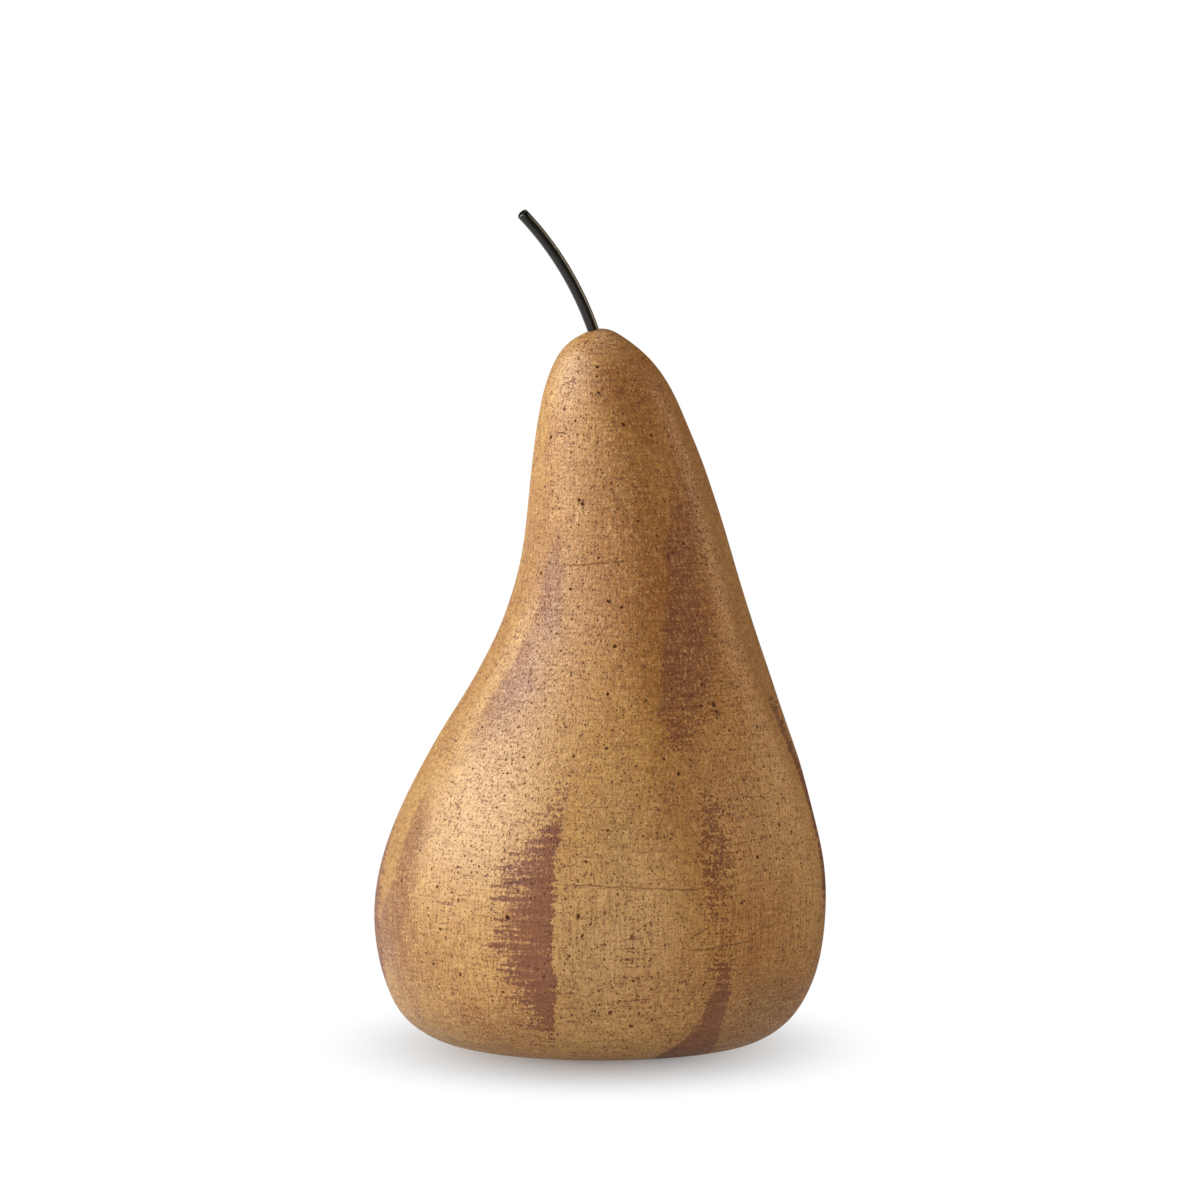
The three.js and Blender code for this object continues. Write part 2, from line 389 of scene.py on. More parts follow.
def pinhole_tree():
    """Geometry Nodes: scatters balls over a skin and cuts them and a drill out of it."""
    tree = bpy.data.node_groups.new("open_pinholes", "GeometryNodeTree")
    face = tree.interface
    face.new_socket("Geometry", in_out="INPUT", socket_type="NodeSocketGeometry")
    face.new_socket("Spacing", in_out="INPUT", socket_type="NodeSocketFloat")
    face.new_socket("Most per square metre", in_out="INPUT", socket_type="NodeSocketFloat")
    face.new_socket("Smallest", in_out="INPUT", socket_type="NodeSocketFloat")
    face.new_socket("Largest", in_out="INPUT", socket_type="NodeSocketFloat")
    face.new_socket("Seed", in_out="INPUT", socket_type="NodeSocketInt")
    face.new_socket("Cluster size", in_out="INPUT", socket_type="NodeSocketFloat")
    face.new_socket("Drill", in_out="INPUT", socket_type="NodeSocketObject")
    face.new_socket("Paint", in_out="INPUT", socket_type="NodeSocketMaterial")
    face.new_socket("Geometry", in_out="OUTPUT", socket_type="NodeSocketGeometry")
    given = add_node(tree, "NodeGroupInput").outputs
    place = add_node(tree, "GeometryNodeInputPosition")
    in_clusters = add_node(tree, "ShaderNodeVectorMath", {"operation": "DIVIDE"},
                           {0: place.outputs["Position"], 1: given["Cluster size"]})
    crowding = add_node(tree, "ShaderNodeTexNoise", None,
                        {"Vector": in_clusters.outputs["Vector"], "Scale": 1.0, "Detail": 2.0})
    share = add_node(tree, "ShaderNodeMapRange", None, {
        "Value": crowding.outputs["Fac"],
        "From Min": CROWDING[0],
        "From Max": CROWDING[1],
        "To Min": LEAST_CROWDED,
    })
    spots = add_node(tree, "GeometryNodeDistributePointsOnFaces",
                     {"distribute_method": "POISSON"}, {
                         "Mesh": given["Geometry"],
                         "Distance Min": given["Spacing"],
                         "Density Max": given["Most per square metre"],
                         "Density Factor": share.outputs["Result"],
                         "Seed": given["Seed"],
                     })
    chance = add_node(tree, "FunctionNodeRandomValue", {"data_type": "FLOAT_VECTOR"},
                      {0: (0, 0, 0), 1: (1, 1, 1), "Seed": given["Seed"]})
    rolls = add_node(tree, "ShaderNodeSeparateXYZ", None, {"Vector": chance.outputs[0]})
    mostly_small = add_node(tree, "ShaderNodeMath", {"operation": "POWER"},
                            {0: rolls.outputs["X"], 1: 2.0})
    width = add_node(tree, "ShaderNodeMapRange", None, {
        "Value": mostly_small.outputs[0],
        "To Min": given["Smallest"],
        "To Max": given["Largest"],
    })
    stretch = add_node(tree, "ShaderNodeMapRange", None,
                       {"Value": rolls.outputs["Y"], "To Min": 1.0, "To Max": LONGEST_PIT})
    length = add_node(tree, "ShaderNodeMath", {"operation": "MULTIPLY"},
                      {0: width.outputs["Result"], 1: stretch.outputs["Result"]})
    depth = add_node(tree, "ShaderNodeMath", {"operation": "MULTIPLY"},
                     {0: width.outputs["Result"], 1: PIT_DEPTH_SHARE})
    size = add_node(tree, "ShaderNodeCombineXYZ", None, {
        "X": length.outputs[0], "Y": width.outputs["Result"], "Z": depth.outputs[0],
    })
    turn = add_node(tree, "ShaderNodeMath", {"operation": "MULTIPLY"},
                    {0: rolls.outputs["Z"], 1: 2 * math.pi})
    spin = add_node(tree, "ShaderNodeCombineXYZ", None, {"Z": turn.outputs[0]})
    facing = add_node(tree, "FunctionNodeRotateRotation", {"rotation_space": "LOCAL"}, {
        "Rotation": spots.outputs["Rotation"], "Rotate By": spin.outputs[0],
    })
    ball = add_node(tree, "GeometryNodeMeshIcoSphere", None, {"Radius": 0.5, "Subdivisions": 2})
    balls = add_node(tree, "GeometryNodeInstanceOnPoints", None, {
        "Points": spots.outputs["Points"],
        "Instance": ball.outputs["Mesh"],
        "Rotation": facing.outputs[0],
        "Scale": size.outputs[0],
    })
    real_balls = add_node(tree, "GeometryNodeRealizeInstances", None,
                          {"Geometry": balls.outputs["Instances"]})
    drill = add_node(tree, "GeometryNodeObjectInfo", {"transform_space": "RELATIVE"},
                     {"Object": given["Drill"]})
    cut = add_node(tree, "GeometryNodeMeshBoolean",
                   {"operation": "DIFFERENCE", "solver": "MANIFOLD"},
                   {"Mesh 1": given["Geometry"]})
    tree.links.new(real_balls.outputs[0], cut.inputs["Mesh 2"])
    tree.links.new(drill.outputs["Geometry"], cut.inputs["Mesh 2"])
    whole = add_node(tree, "GeometryNodeRealizeInstances", None, {"Geometry": cut.outputs["Mesh"]})
    painted = add_node(tree, "GeometryNodeSetMaterial", None,
                       {"Geometry": whole.outputs[0], "Material": given["Paint"]})
    add_node(tree, "NodeGroupOutput", None, {"Geometry": painted.outputs["Geometry"]})
    return tree


# %% The drill bit
DRILL_CLEARANCE = 0.04 * MM
DRILL_ABOVE = 6 * MM
DRILL_SIDES = 48


def drill_bit():
    """A rod from the floor of the stem's hole to above the crown, just wider than the wire."""
    direction = stem_direction(STEM_LEAN_AT_FOOT)
    shape = bmesh.new()
    bmesh.ops.create_cone(
        shape, cap_ends=True, segments=DRILL_SIDES, radius1=WIRE_RADIUS + DRILL_CLEARANCE,
        radius2=WIRE_RADIUS + DRILL_CLEARANCE, depth=STEM_ROOT + DRILL_ABOVE,
    )
    turn = direction.to_track_quat("Z", "Y").to_matrix()
    bmesh.ops.rotate(shape, cent=(0, 0, 0), matrix=turn, verts=shape.verts)
    middle = STEM_FOOT + direction * (DRILL_ABOVE - STEM_ROOT) / 2
    bmesh.ops.translate(shape, vec=middle, verts=shape.verts)
    mesh = bpy.data.meshes.new("drill_bit")
    shape.to_mesh(mesh)
    shape.free()
    return bpy.data.objects.new("drill_bit", mesh)


def set_inputs(modifier, values):
    """Sets a Geometry Nodes modifier's inputs, found by name in its tree."""
    for item in modifier.node_group.interface.items_tree:
        if item.item_type == "SOCKET" and item.in_out == "INPUT" and item.name in values:
            modifier[item.identifier] = values[item.name]


# %% Open the pinholes and drill the stem's hole
SHARPEST_SMOOTHED = math.radians(32)

drill = drill_bit()
bpy.context.scene.collection.objects.link(drill)
body_paint = bpy.data.materials.new("ochre_paint_dry_brushed_over_red_brown_ground")
body.data.materials.append(body_paint)
pinholes = body.modifiers.new("pinholes", "NODES")
pinholes.node_group = pinhole_tree()
set_inputs(pinholes, {
    "Spacing": 1.3 * MM,
    "Most per square metre": 26000.0,
    "Smallest": 0.36 * MM,
    "Largest": 1.05 * MM,
    "Seed": 7,
    "Cluster size": 9 * MM,
    "Drill": drill,
    "Paint": body_paint,
})
faces_before = len(body.data.polygons)
apply_modifiers(body)
bpy.data.objects.remove(drill)
body.data.shade_smooth()
body.data.set_sharp_from_angle(angle=SHARPEST_SMOOTHED)
print("faces before and after the cut:", faces_before, len(body.data.polygons))

# %% [markdown]
# ## Where the ochre skipped
#
# The ochre was laid over the red-brown with a nearly dry brush, strip by strip. It missed the
# lee side of some ridges, so a bare patch has one crisp edge along a ridge and fades the
# other way into level bristle marks. In a flecked patch the brush only dabbed, and in a
# washed one the ochre went on thin and smooth. Each patch is a short list of rows, from the
# foot up: height in mm, then directions in degrees (0 faces the front, positive to the
# right) of the crisp edge, of the end of the solid part and of the end of the fade, and how
# bare the row is. The front patches sit where the photograph has them; the ones on the back
# are in the same manner.

# %% Bare patches
BARE_PATCHES = {
    "belly, left of the middle": [
        (3, -14, -15, -38, 0), (6, -13.8, -14.5, -36, 0.45), (9, -13.6, -15, -28, 0.6),
        (13.5, -13, -15, -24, 0.85), (18, -11.9, -15, -27, 0.92), (24, -11, -16, -32, 0.95),
        (30, -12.4, -16, -35, 1), (39, -12.4, -16, -37, 1), (43, -11.7, -14.5, -37, 0.97),
        (47, -12.3, -14, -37, 0.95), (54, -12.1, -13.5, -34, 0.9), (60, -11.3, -13, -26, 0.8),
        (65, -10.6, -11.5, -18, 0.65), (71, -9.6, -10.5, -14, 0.4), (75, -9, -9.5, -11, 0),
    ],
    "foot, right": [
        (0, 44, 24, 21, 1.15), (3, 43, 23, 21, 1.15), (4.5, 40, 25, 23, 1.15),
        (9, 37.4, 30, 26, 1.15), (13, 36.7, 30.5, 28, 1.15), (18, 36.7, 31, 29, 1.0),
        (21, 36.5, 32, 30, 0.8), (26, 36, 32, 30, 0.55), (32, 35, 32, 31, 0),
    ],
    "right side": [
        (34, 76, 84, 96, 0), (40, 75, 86, 102, 0.7), (65, 74, 84, 104, 0.85),
        (90, 73, 80, 98, 0.6), (97, 73, 78, 86, 0),
    ],
    "belly, back right": [
        (4, 124, 133, 140, 0), (10, 124, 133, 142, 0.9), (30, 122, 136, 148, 1),
        (48, 121, 133, 146, 1), (60, 122, 127, 138, 0.8), (66, 122, 124, 128, 0),
    ],
    "neck, back right": [
        (96, 108, 112, 118, 0), (104, 107, 120, 134, 0.9), (118, 106, 122, 136, 0.9),
        (132, 106, 114, 128, 0.6), (140, 106, 109, 114, 0),
    ],
    "waist, back": [
        (70, 165, 160, 150, 0), (76, 165, 156, 142, 0.8), (92, 163, 152, 140, 1),
        (104, 162, 154, 144, 0.8), (112, 161, 158, 152, 0),
    ],
    "belly, back left": [
        (6, 214, 210, 202, 0), (14, 214, 205, 196, 0.9), (34, 213, 200, 190, 1),
        (50, 212, 202, 191, 0.9), (64, 212, 208, 200, 0),
    ],
    "neck, back left": [
        (112, 212, 220, 232, 0), (120, 211, 224, 240, 0.8), (140, 211, 226, 242, 0.8),
        (156, 211, 216, 228, 0.5), (162, 211, 214, 218, 0),
    ],
    "belly, far left": [
        (10, 262, 268, 276, 0), (18, 262, 272, 282, 0.8), (36, 262, 272, 284, 0.9),
        (58, 262, 266, 276, 0.7), (66, 262, 264, 268, 0),
    ],
}
FLECKED_PATCHES = {
    "neck to belly, right": [
        (78, 23.3, 24, 30, 0), (82, 23.2, 28, 35, 0.66), (86, 23.1, 30, 42, 0.66),
        (90, 21, 32, 58, 0.62), (95, 24.2, 33, 58, 0.62), (102, 26, 34, 56, 0.52),
        (107, 27, 38, 60, 0.35), (112, 31, 42, 66, 0.4), (115, 31.7, 44, 68, 0.42),
        (118, 35, 43, 66, 0.35), (123, 37, 44, 64, 0.3), (128, 36.5, 56, 68, 0.4),
        (133, 34.6, 52, 68, 0.4), (139, 44.7, 52, 64, 0.4), (146, 49, 55, 68, 0.35),
        (156, 56, 62, 76, 0),
    ],
    "belly, right of the middle": [
        (22, 30, 31, 41, 0), (26, 29, 31.5, 43, 0.6), (30, 29.5, 31, 41, 0.5),
        (32, 32.4, 33.5, 37, 0.5), (36, 31.6, 33, 37, 0.5), (39, 27.2, 30, 37, 0.5),
        (43, 26.3, 30.5, 38, 0.62), (46, 27, 32, 40, 0.68), (50, 26.8, 33, 42, 0.7),
        (57, 26.9, 34, 42, 0.68), (65, 28.5, 35, 44, 0.62), (71, 29, 33, 44, 0.42),
        (78, 31, 33, 40, 0),
    ],
    "belly, left of the middle": [
        (56, -11.3, -16, -30, 0.3), (66, -10.6, -15, -24, 0.5), (74, -9, -12, -20, 0.35),
        (82, -8, -10, -14, 0),
    ],
    "belly, back right": [
        (18, 128, 138, 150, 0), (30, 127, 140, 156, 0.5), (52, 126, 138, 152, 0.5),
        (66, 126, 130, 140, 0),
    ],
}
WASHED_PATCHES = {
    "neck, left": [
        (103, -19, -36, -42, 0), (108, -20, -36, -44, 0.7), (113, -23, -38, -44, 1),
        (123, -23, -40, -46, 1.1), (130, -28, -35, -39, 1), (136, -29.5, -31, -34, 0.7),
        (141, -30, -31, -32, 0),
    ],
    "waist, left": [
        (76, -55, -50, -24, 0), (84, -56, -46, -22, 0.6), (89, -56.8, -45, -19, 0.9),
        (95, -54, -34, -18, 1.1), (103, -49, -36, -20, 1), (108, -46, -38, -22, 0.7),
        (115, -43, -41, -32, 0.4), (120, -43, -41, -36, 0),
    ],
    "left side": [
        (4, -66, -62, -54, 0), (20, -72, -62, -52, 0.5), (27, -86, -70, -52, 1),
        (32, -83, -66, -50, 1.1), (38, -78, -62, -52, 1.1), (45, -71, -62, -54, 1),
        (56, -71, -62, -54, 1.1), (62, -72, -63, -56, 0.9), (66, -71, -66, -60, 0.5),
        (74, -70, -66, -62, 0),
    ],
    "neck, right": [
        (84, 22, 30, 44, 0), (94, 22, 36, 54, 0.6), (104, 27, 42, 56, 1.15),
        (112, 29, 44, 58, 1.15), (120, 33, 45, 58, 1.15), (132, 36, 48, 60, 0.9),
        (146, 46, 58, 72, 0.5), (158, 52, 62, 74, 0),
    ],
    "waist, back": [
        (84, 232, 222, 206, 0), (94, 232, 220, 200, 0.9), (108, 229, 220, 204, 0.8),
        (118, 226, 222, 212, 0),
    ],
    "belly, back": [
        (14, 172, 180, 190, 0), (26, 171, 184, 194, 0.8), (44, 170, 182, 196, 0.9),
        (58, 171, 176, 186, 0.5), (64, 172, 174, 178, 0),
    ],
}
CRISP_EDGE = 1.3
EDGE_WOBBLE = 0.35


def directions_and_heights(mesh):
    """Each corner's direction in degrees, height and distance from the axis in mm."""
    spots = np.empty(len(mesh.vertices) * 3)
    mesh.vertices.foreach_get("co", spots)
    spots = spots.reshape(-1, 3) / MM
    direction = np.degrees(np.arctan2(spots[:, 0], -spots[:, 1]))
    return direction, spots[:, 2], np.hypot(spots[:, 0], spots[:, 1])


def turn_from(direction, start):
    """How far each direction lies beyond the start, within half a turn either way."""
    return (direction - start + 180) % 360 - 180


def bareness(rows, direction, height, radius):
    """How bare one patch leaves each corner, from 0 to 1."""
    heights, crisp, solid, faded, strength = np.array(rows, dtype=float).T
    side = 1 if faded[1] > crisp[1] else -1
    wobble = EDGE_WOBBLE * np.sin(0.8 * height + 2.5 * np.sin(0.31 * height))
    edge = np.interp(height, heights, crisp) + np.degrees(wobble / radius)
    solid_width = side * (np.interp(height, heights, solid) - edge)
    faded_width = side * (np.interp(height, heights, faded) - edge)
    beyond = side * turn_from(direction, edge)
    crispness = np.clip(np.radians(beyond) * radius / CRISP_EDGE + 0.5, 0, 1)
    fade = np.clip((faded_width - beyond) / np.maximum(faded_width - solid_width, 0.5), 0, 1)
    inside = (height >= heights[0]) & (height <= heights[-1])
    return inside * crispness * fade * np.interp(height, heights, strength)


def store(mesh, name, values):
    """Keeps one number a corner on the mesh, for the paint to read."""
    mesh.attributes.new(name, "FLOAT", "POINT").data.foreach_set("value", values)


def barest(patches, direction, height, radius):
    """How bare the corners are under all the patches of one kind."""
    return np.max([bareness(rows, direction, height, radius) for rows in patches.values()], axis=0)


direction, height, radius = directions_and_heights(body.data)
store(body.data, "bare", barest(BARE_PATCHES, direction, height, radius))
store(body.data, "flecked", barest(FLECKED_PATCHES, direction, height, radius))
store(body.data, "washed", barest(WASHED_PATCHES, direction, height, radius))
print("patches:", len(BARE_PATCHES), "bare,", len(FLECKED_PATCHES), "flecked,",
      len(WASHED_PATCHES), "washed")

# %% [markdown]
# ## Stains, wear, painted shade and highlights, and dark pinholes
#
# The wax took up some colour: rusty stains near the foot and on the crown, and a few
# grey-green ones where it lies thicker. The ochre itself is rubbed thin and darker in some
# places and lies thick and pale in others. Some of the darker ovals, on the neck and the
# crown, are painted shade. Some of the pale ones are painted highlights: two narrow strips
# along the left ridges and a broad oval on the left of the belly. Each such place is a soft
# oval given by direction, height, half width and half height in mm, and strength. The depth
# of a corner below the smooth skin sets how dark the pinhole is painted there: dark wax, and
# painted shade that deepens with the depth.

# %% Stains, wear, painted shade and highlights, and pinhole depth
RUSTY_STAINS = [
    (-57, 27, 14, 10, 0.9), (25, 172, 8, 9, 0.8), (34, 167, 8, 8, 0.7), (14, 150, 9, 14, 0.3),
    (24, 68, 9, 12, 0.5), (28, 24, 16, 7, 0.4), (-34, 10, 20, 8, 0.6), (42, 8, 20, 8, 0.5),
    (150, 22, 22, 10, 0.7), (200, 150, 12, 14, 0.5), (245, 30, 20, 12, 0.7),
    (100, 20, 14, 9, 0.6),
]
GREY_STAINS = [
    (5, 61, 4, 14, 0.6), (-4, 24, 5, 14, 0.7), (52, 16, 14, 7, 0.9), (50, 62, 7, 14, 0.4),
    (180, 50, 9, 20, 0.6), (228, 18, 16, 8, 0.8), (120, 84, 7, 14, 0.5),
]
# Darker ovals: ochre rubbed thin, and painted shade on the neck and the crown.
PAINTED_SHADE_AND_WORN_OVALS = [
    (24, 124, 22, 30, 1.0), (48, 150, 16, 24, 0.7), (-52, 132, 12, 18, 0.7), (-2, 174, 7, 8, 0.7),
    (60, 172, 10, 9, 0.8), (62, 116, 14, 28, 0.5), (28, 96, 12, 10, 0.7), (58, 14, 24, 12, 1.0),
    (48, 36, 16, 14, 0.5), (150, 120, 20, 26, 0.8), (205, 62, 22, 30, 0.6), (120, 30, 24, 18, 0.7),
    (262, 112, 14, 22, 0.6),
]
# Pale ovals: thicker ochre, and painted highlights, which are the narrow strips at -62 and -54
# along the left ridges and the broad oval at -42 on the belly.
PAINTED_HIGHLIGHTS_AND_PALE_OVALS = [
    (-42, 62, 24, 32, 1.0), (-62, 92, 4, 16, 1.0), (-54, 108, 3, 12, 0.9), (6, 38, 20, 32, 0.9),
    (2, 12, 20, 12, 0.7), (24, 66, 14, 14, 0.5), (66, 40, 16, 26, 1.0), (-34, 176, 9, 8, 0.7),
    (-14, 128, 6, 30, 0.4), (96, 72, 20, 26, 0.7), (188, 30, 24, 24, 0.8),
    (236, 84, 18, 26, 0.8), (180, 150, 12, 20, 0.6),
]


def oval_marks(ovals, direction, height, radius):
    """How strongly each corner lies under any of the ovals, from 0 to 1: stains, wear, and painted
    shade and highlights.
    """
    marked = np.zeros(len(height))
    for centre, level, half_width, half_height, strength in ovals:
        across = np.radians(turn_from(direction, centre)) * radius / half_width
        upward = (height - level) / half_height
        marked = np.maximum(marked, strength * np.exp(-(across ** 2 + upward ** 2)))
    return marked


def depth_below(skin, mesh):
    """How deep each corner lies under a smooth skin, in mm."""
    tree = BVHTree.FromPolygons(
        [corner.co for corner in skin.vertices], [face.vertices for face in skin.polygons],
    )
    return np.array([tree.find_nearest(corner.co)[3] for corner in mesh.vertices]) / MM


for name, ovals in (("rusty", RUSTY_STAINS), ("greyish", GREY_STAINS),
                    ("worn_and_shaded", PAINTED_SHADE_AND_WORN_OVALS), ("pale", PAINTED_HIGHLIGHTS_AND_PALE_OVALS)):
    store(body.data, name, oval_marks(ovals, direction, height, radius))
pit_depth = depth_below(smooth_skin, body.data)
store(body.data, "pit_depth", pit_depth)
print("corners inside pinholes:", int((pit_depth > 0.05).sum()),
      "deepest:", round(float(pit_depth.max()), 2), "mm")

# %% [markdown]
# ## The paint
#
# From the wood outwards: a red-brown ground with brush marks both ways, ochre that covers
# it wherever the bristles touched, a fine crisscross of bristle ridges with brown wax left
# between them, darker wax in scratches, dark wax and painted shade in pinholes, and a thin
# rubbed film over all, which gives the broad soft highlight. The pale ovals also paint
# highlights, and the darker ones paint shade. All patterns use the pear's own measures in mm.
# Level bristle marks are noise squeezed along the height, and upright ones are noise drawn
# out along it. The wax in hollows is duller than the rubbed ridges.

# %% Pattern helpers


def stretched_noise(tree, spot, per_mm, detail=2.0, roughness=0.5):
    """Noise whose grain is given along each axis, in waves per mm."""
    scaled = add_node(tree, "ShaderNodeVectorMath", {"operation": "MULTIPLY"},
                      {0: spot, 1: per_mm})
    noise = add_node(tree, "ShaderNodeTexNoise", None, {
        "Vector": scaled.outputs["Vector"],
        "Scale": 1.0,
        "Detail": detail,
        "Roughness": roughness,
    })
    return noise.outputs["Fac"]


def ramp(tree, value, low, high, out_low=0.0, out_high=1.0):
    """Maps a range of values to another one, held at its ends."""
    mapped = add_node(tree, "ShaderNodeMapRange", None, {
        "Value": value, "From Min": low, "From Max": high,
        "To Min": out_low, "To Max": out_high,
    })
    return mapped.outputs["Result"]


def maths(tree, operation, *values):
    """One arithmetic step on numbers or sockets."""
    step = add_node(tree, "ShaderNodeMath", {"operation": operation}, dict(enumerate(values)))
    return step.outputs["Value"]


def blend(tree, share, under, over):
    """Lays one colour over another by a share."""
    mixed = add_node(tree, "ShaderNodeMix", {"data_type": "RGBA"},
                     {"Factor": share, 6: under, 7: over})
    return mixed.outputs[2]


def mesh_value(tree, name):
    """A number stored on the mesh."""
    return add_node(tree, "ShaderNodeAttribute", {"attribute_name": name}).outputs["Fac"]


def specks(tree, spot, spacing, largest):
    """Pinholes in the shader: 1 in the middle of a speck, 0 outside. Sizes in mm."""
    cells = add_node(tree, "ShaderNodeTexVoronoi", None,
                     {"Vector": spot, "Scale": 1 / spacing, "Randomness": 1.0})
    chance = add_node(tree, "ShaderNodeSeparateXYZ", None, {0: cells.outputs["Color"]})
    rim = ramp(tree, chance.outputs["X"], 0.0, 1.0, 0.25 * largest, largest)
    distance = maths(tree, "MULTIPLY", cells.outputs["Distance"], spacing)
    inside = maths(tree, "DIVIDE", distance, rim)
    return ramp(tree, inside, 1.0, 0.45)


def hair_lines(tree, spot, per_mm, half_width):
    """Thin wandering lines, where noise stretched along them crosses its middle value."""
    wave = stretched_noise(tree, spot, per_mm, 1.0)
    off = maths(tree, "ABSOLUTE", maths(tree, "SUBTRACT", wave, 0.5))
    return ramp(tree, off, half_width, 0.0)


# %% Scratches
SCRATCHES = [
    (-7.4, 48.4, 28.0, 46.8), (23.3, 31.1, 41.9, 32.4), (23, 34.0, 28.4, 37.2),
    (-44.3, 160.6, -28.7, 160.2),
    (-30, 47, -16, 50), (-24, 127, 16, 128.5), (44, 133, 58, 128), (100, 60, 121, 57),
    (170, 42, 196, 45), (222, 88, 240, 85), (150, 140, 176, 141), (262, 30, 276, 33),
]
SCRATCH_HALF_WIDTH = 0.2
SCRATCH_WANDER = 1.4


def scratch_marks(tree, spot):
    """Fine level scratches, each from one direction and height to another."""
    parts = add_node(tree, "ShaderNodeSeparateXYZ", None, {0: spot})
    forward = maths(tree, "MULTIPLY", parts.outputs["Y"], -1.0)
    bearing = maths(tree, "ARCTAN2", parts.outputs["X"], forward)
    degrees = maths(tree, "MULTIPLY", bearing, 180 / math.pi)
    round_the_back = maths(tree, "FLOORED_MODULO", maths(tree, "ADD", degrees, 90.0), 360.0)
    wobble = stretched_noise(tree, spot, (0.25, 0.25, 0.02))
    marks = None
    for start, low, end, high in SCRATCHES:
        along = ramp(tree, round_the_back, start + 90.0, end + 90.0)
        level = maths(tree, "MULTIPLY_ADD", along, high - low, low - SCRATCH_WANDER / 2)
        bent = maths(tree, "MULTIPLY_ADD", wobble, SCRATCH_WANDER, level)
        off = maths(tree, "ABSOLUTE", maths(tree, "SUBTRACT", parts.outputs["Z"], bent))
        ends = maths(tree, "MULTIPLY", along, maths(tree, "SUBTRACT", 1.0, along))
        width = maths(tree, "MULTIPLY", ramp(tree, ends, 0.0, 0.1), SCRATCH_HALF_WIDTH)
        mark = maths(tree, "MULTIPLY", ramp(tree, off, width, 0.0), ramp(tree, ends, 0.0, 0.02))
        marks = mark if marks is None else maths(tree, "MAXIMUM", marks, mark)
    return marks


# %% Paint colours and the heights of its relief
OCHRE = linear("#bf904a")
DEEPER_OCHRE = linear("#b4803c")
CLOUDED_OCHRE = linear("#ad712f")
# Pale ochre, also the colour of the painted highlights.
PALE_OCHRE_AND_HIGHLIGHT = linear("#cfa468")
# Worn ochre, also the colour of the painted shade.
WORN_OCHRE_AND_SHADE = linear("#9e6223")
GROUND = linear("#78401b")
LIGHTER_GROUND = linear("#8f5427")
RUST = linear("#935a20")
GREY_GREEN = linear("#8d7b47")
WAX_BETWEEN_BRISTLES = linear("#6f3f14")
RUBBED_RIDGE = linear("#e8c284")
WAX_IN_LINES = linear("#5e3510")
WAX_IN_SCRATCHES = linear("#5a300e")
# Dark wax in the pinholes, also the colour of their painted shade.
WAX_AND_SHADE_IN_PINHOLES = linear("#502606")
FILM_THICKNESS = 0.03 * MM
BRISTLE_RIDGE = 0.09 * MM
LINE_DEPTH = 0.04 * MM
SPECK_DEPTH = 0.22 * MM

# %% Ochre dry-brushed over a red-brown ground


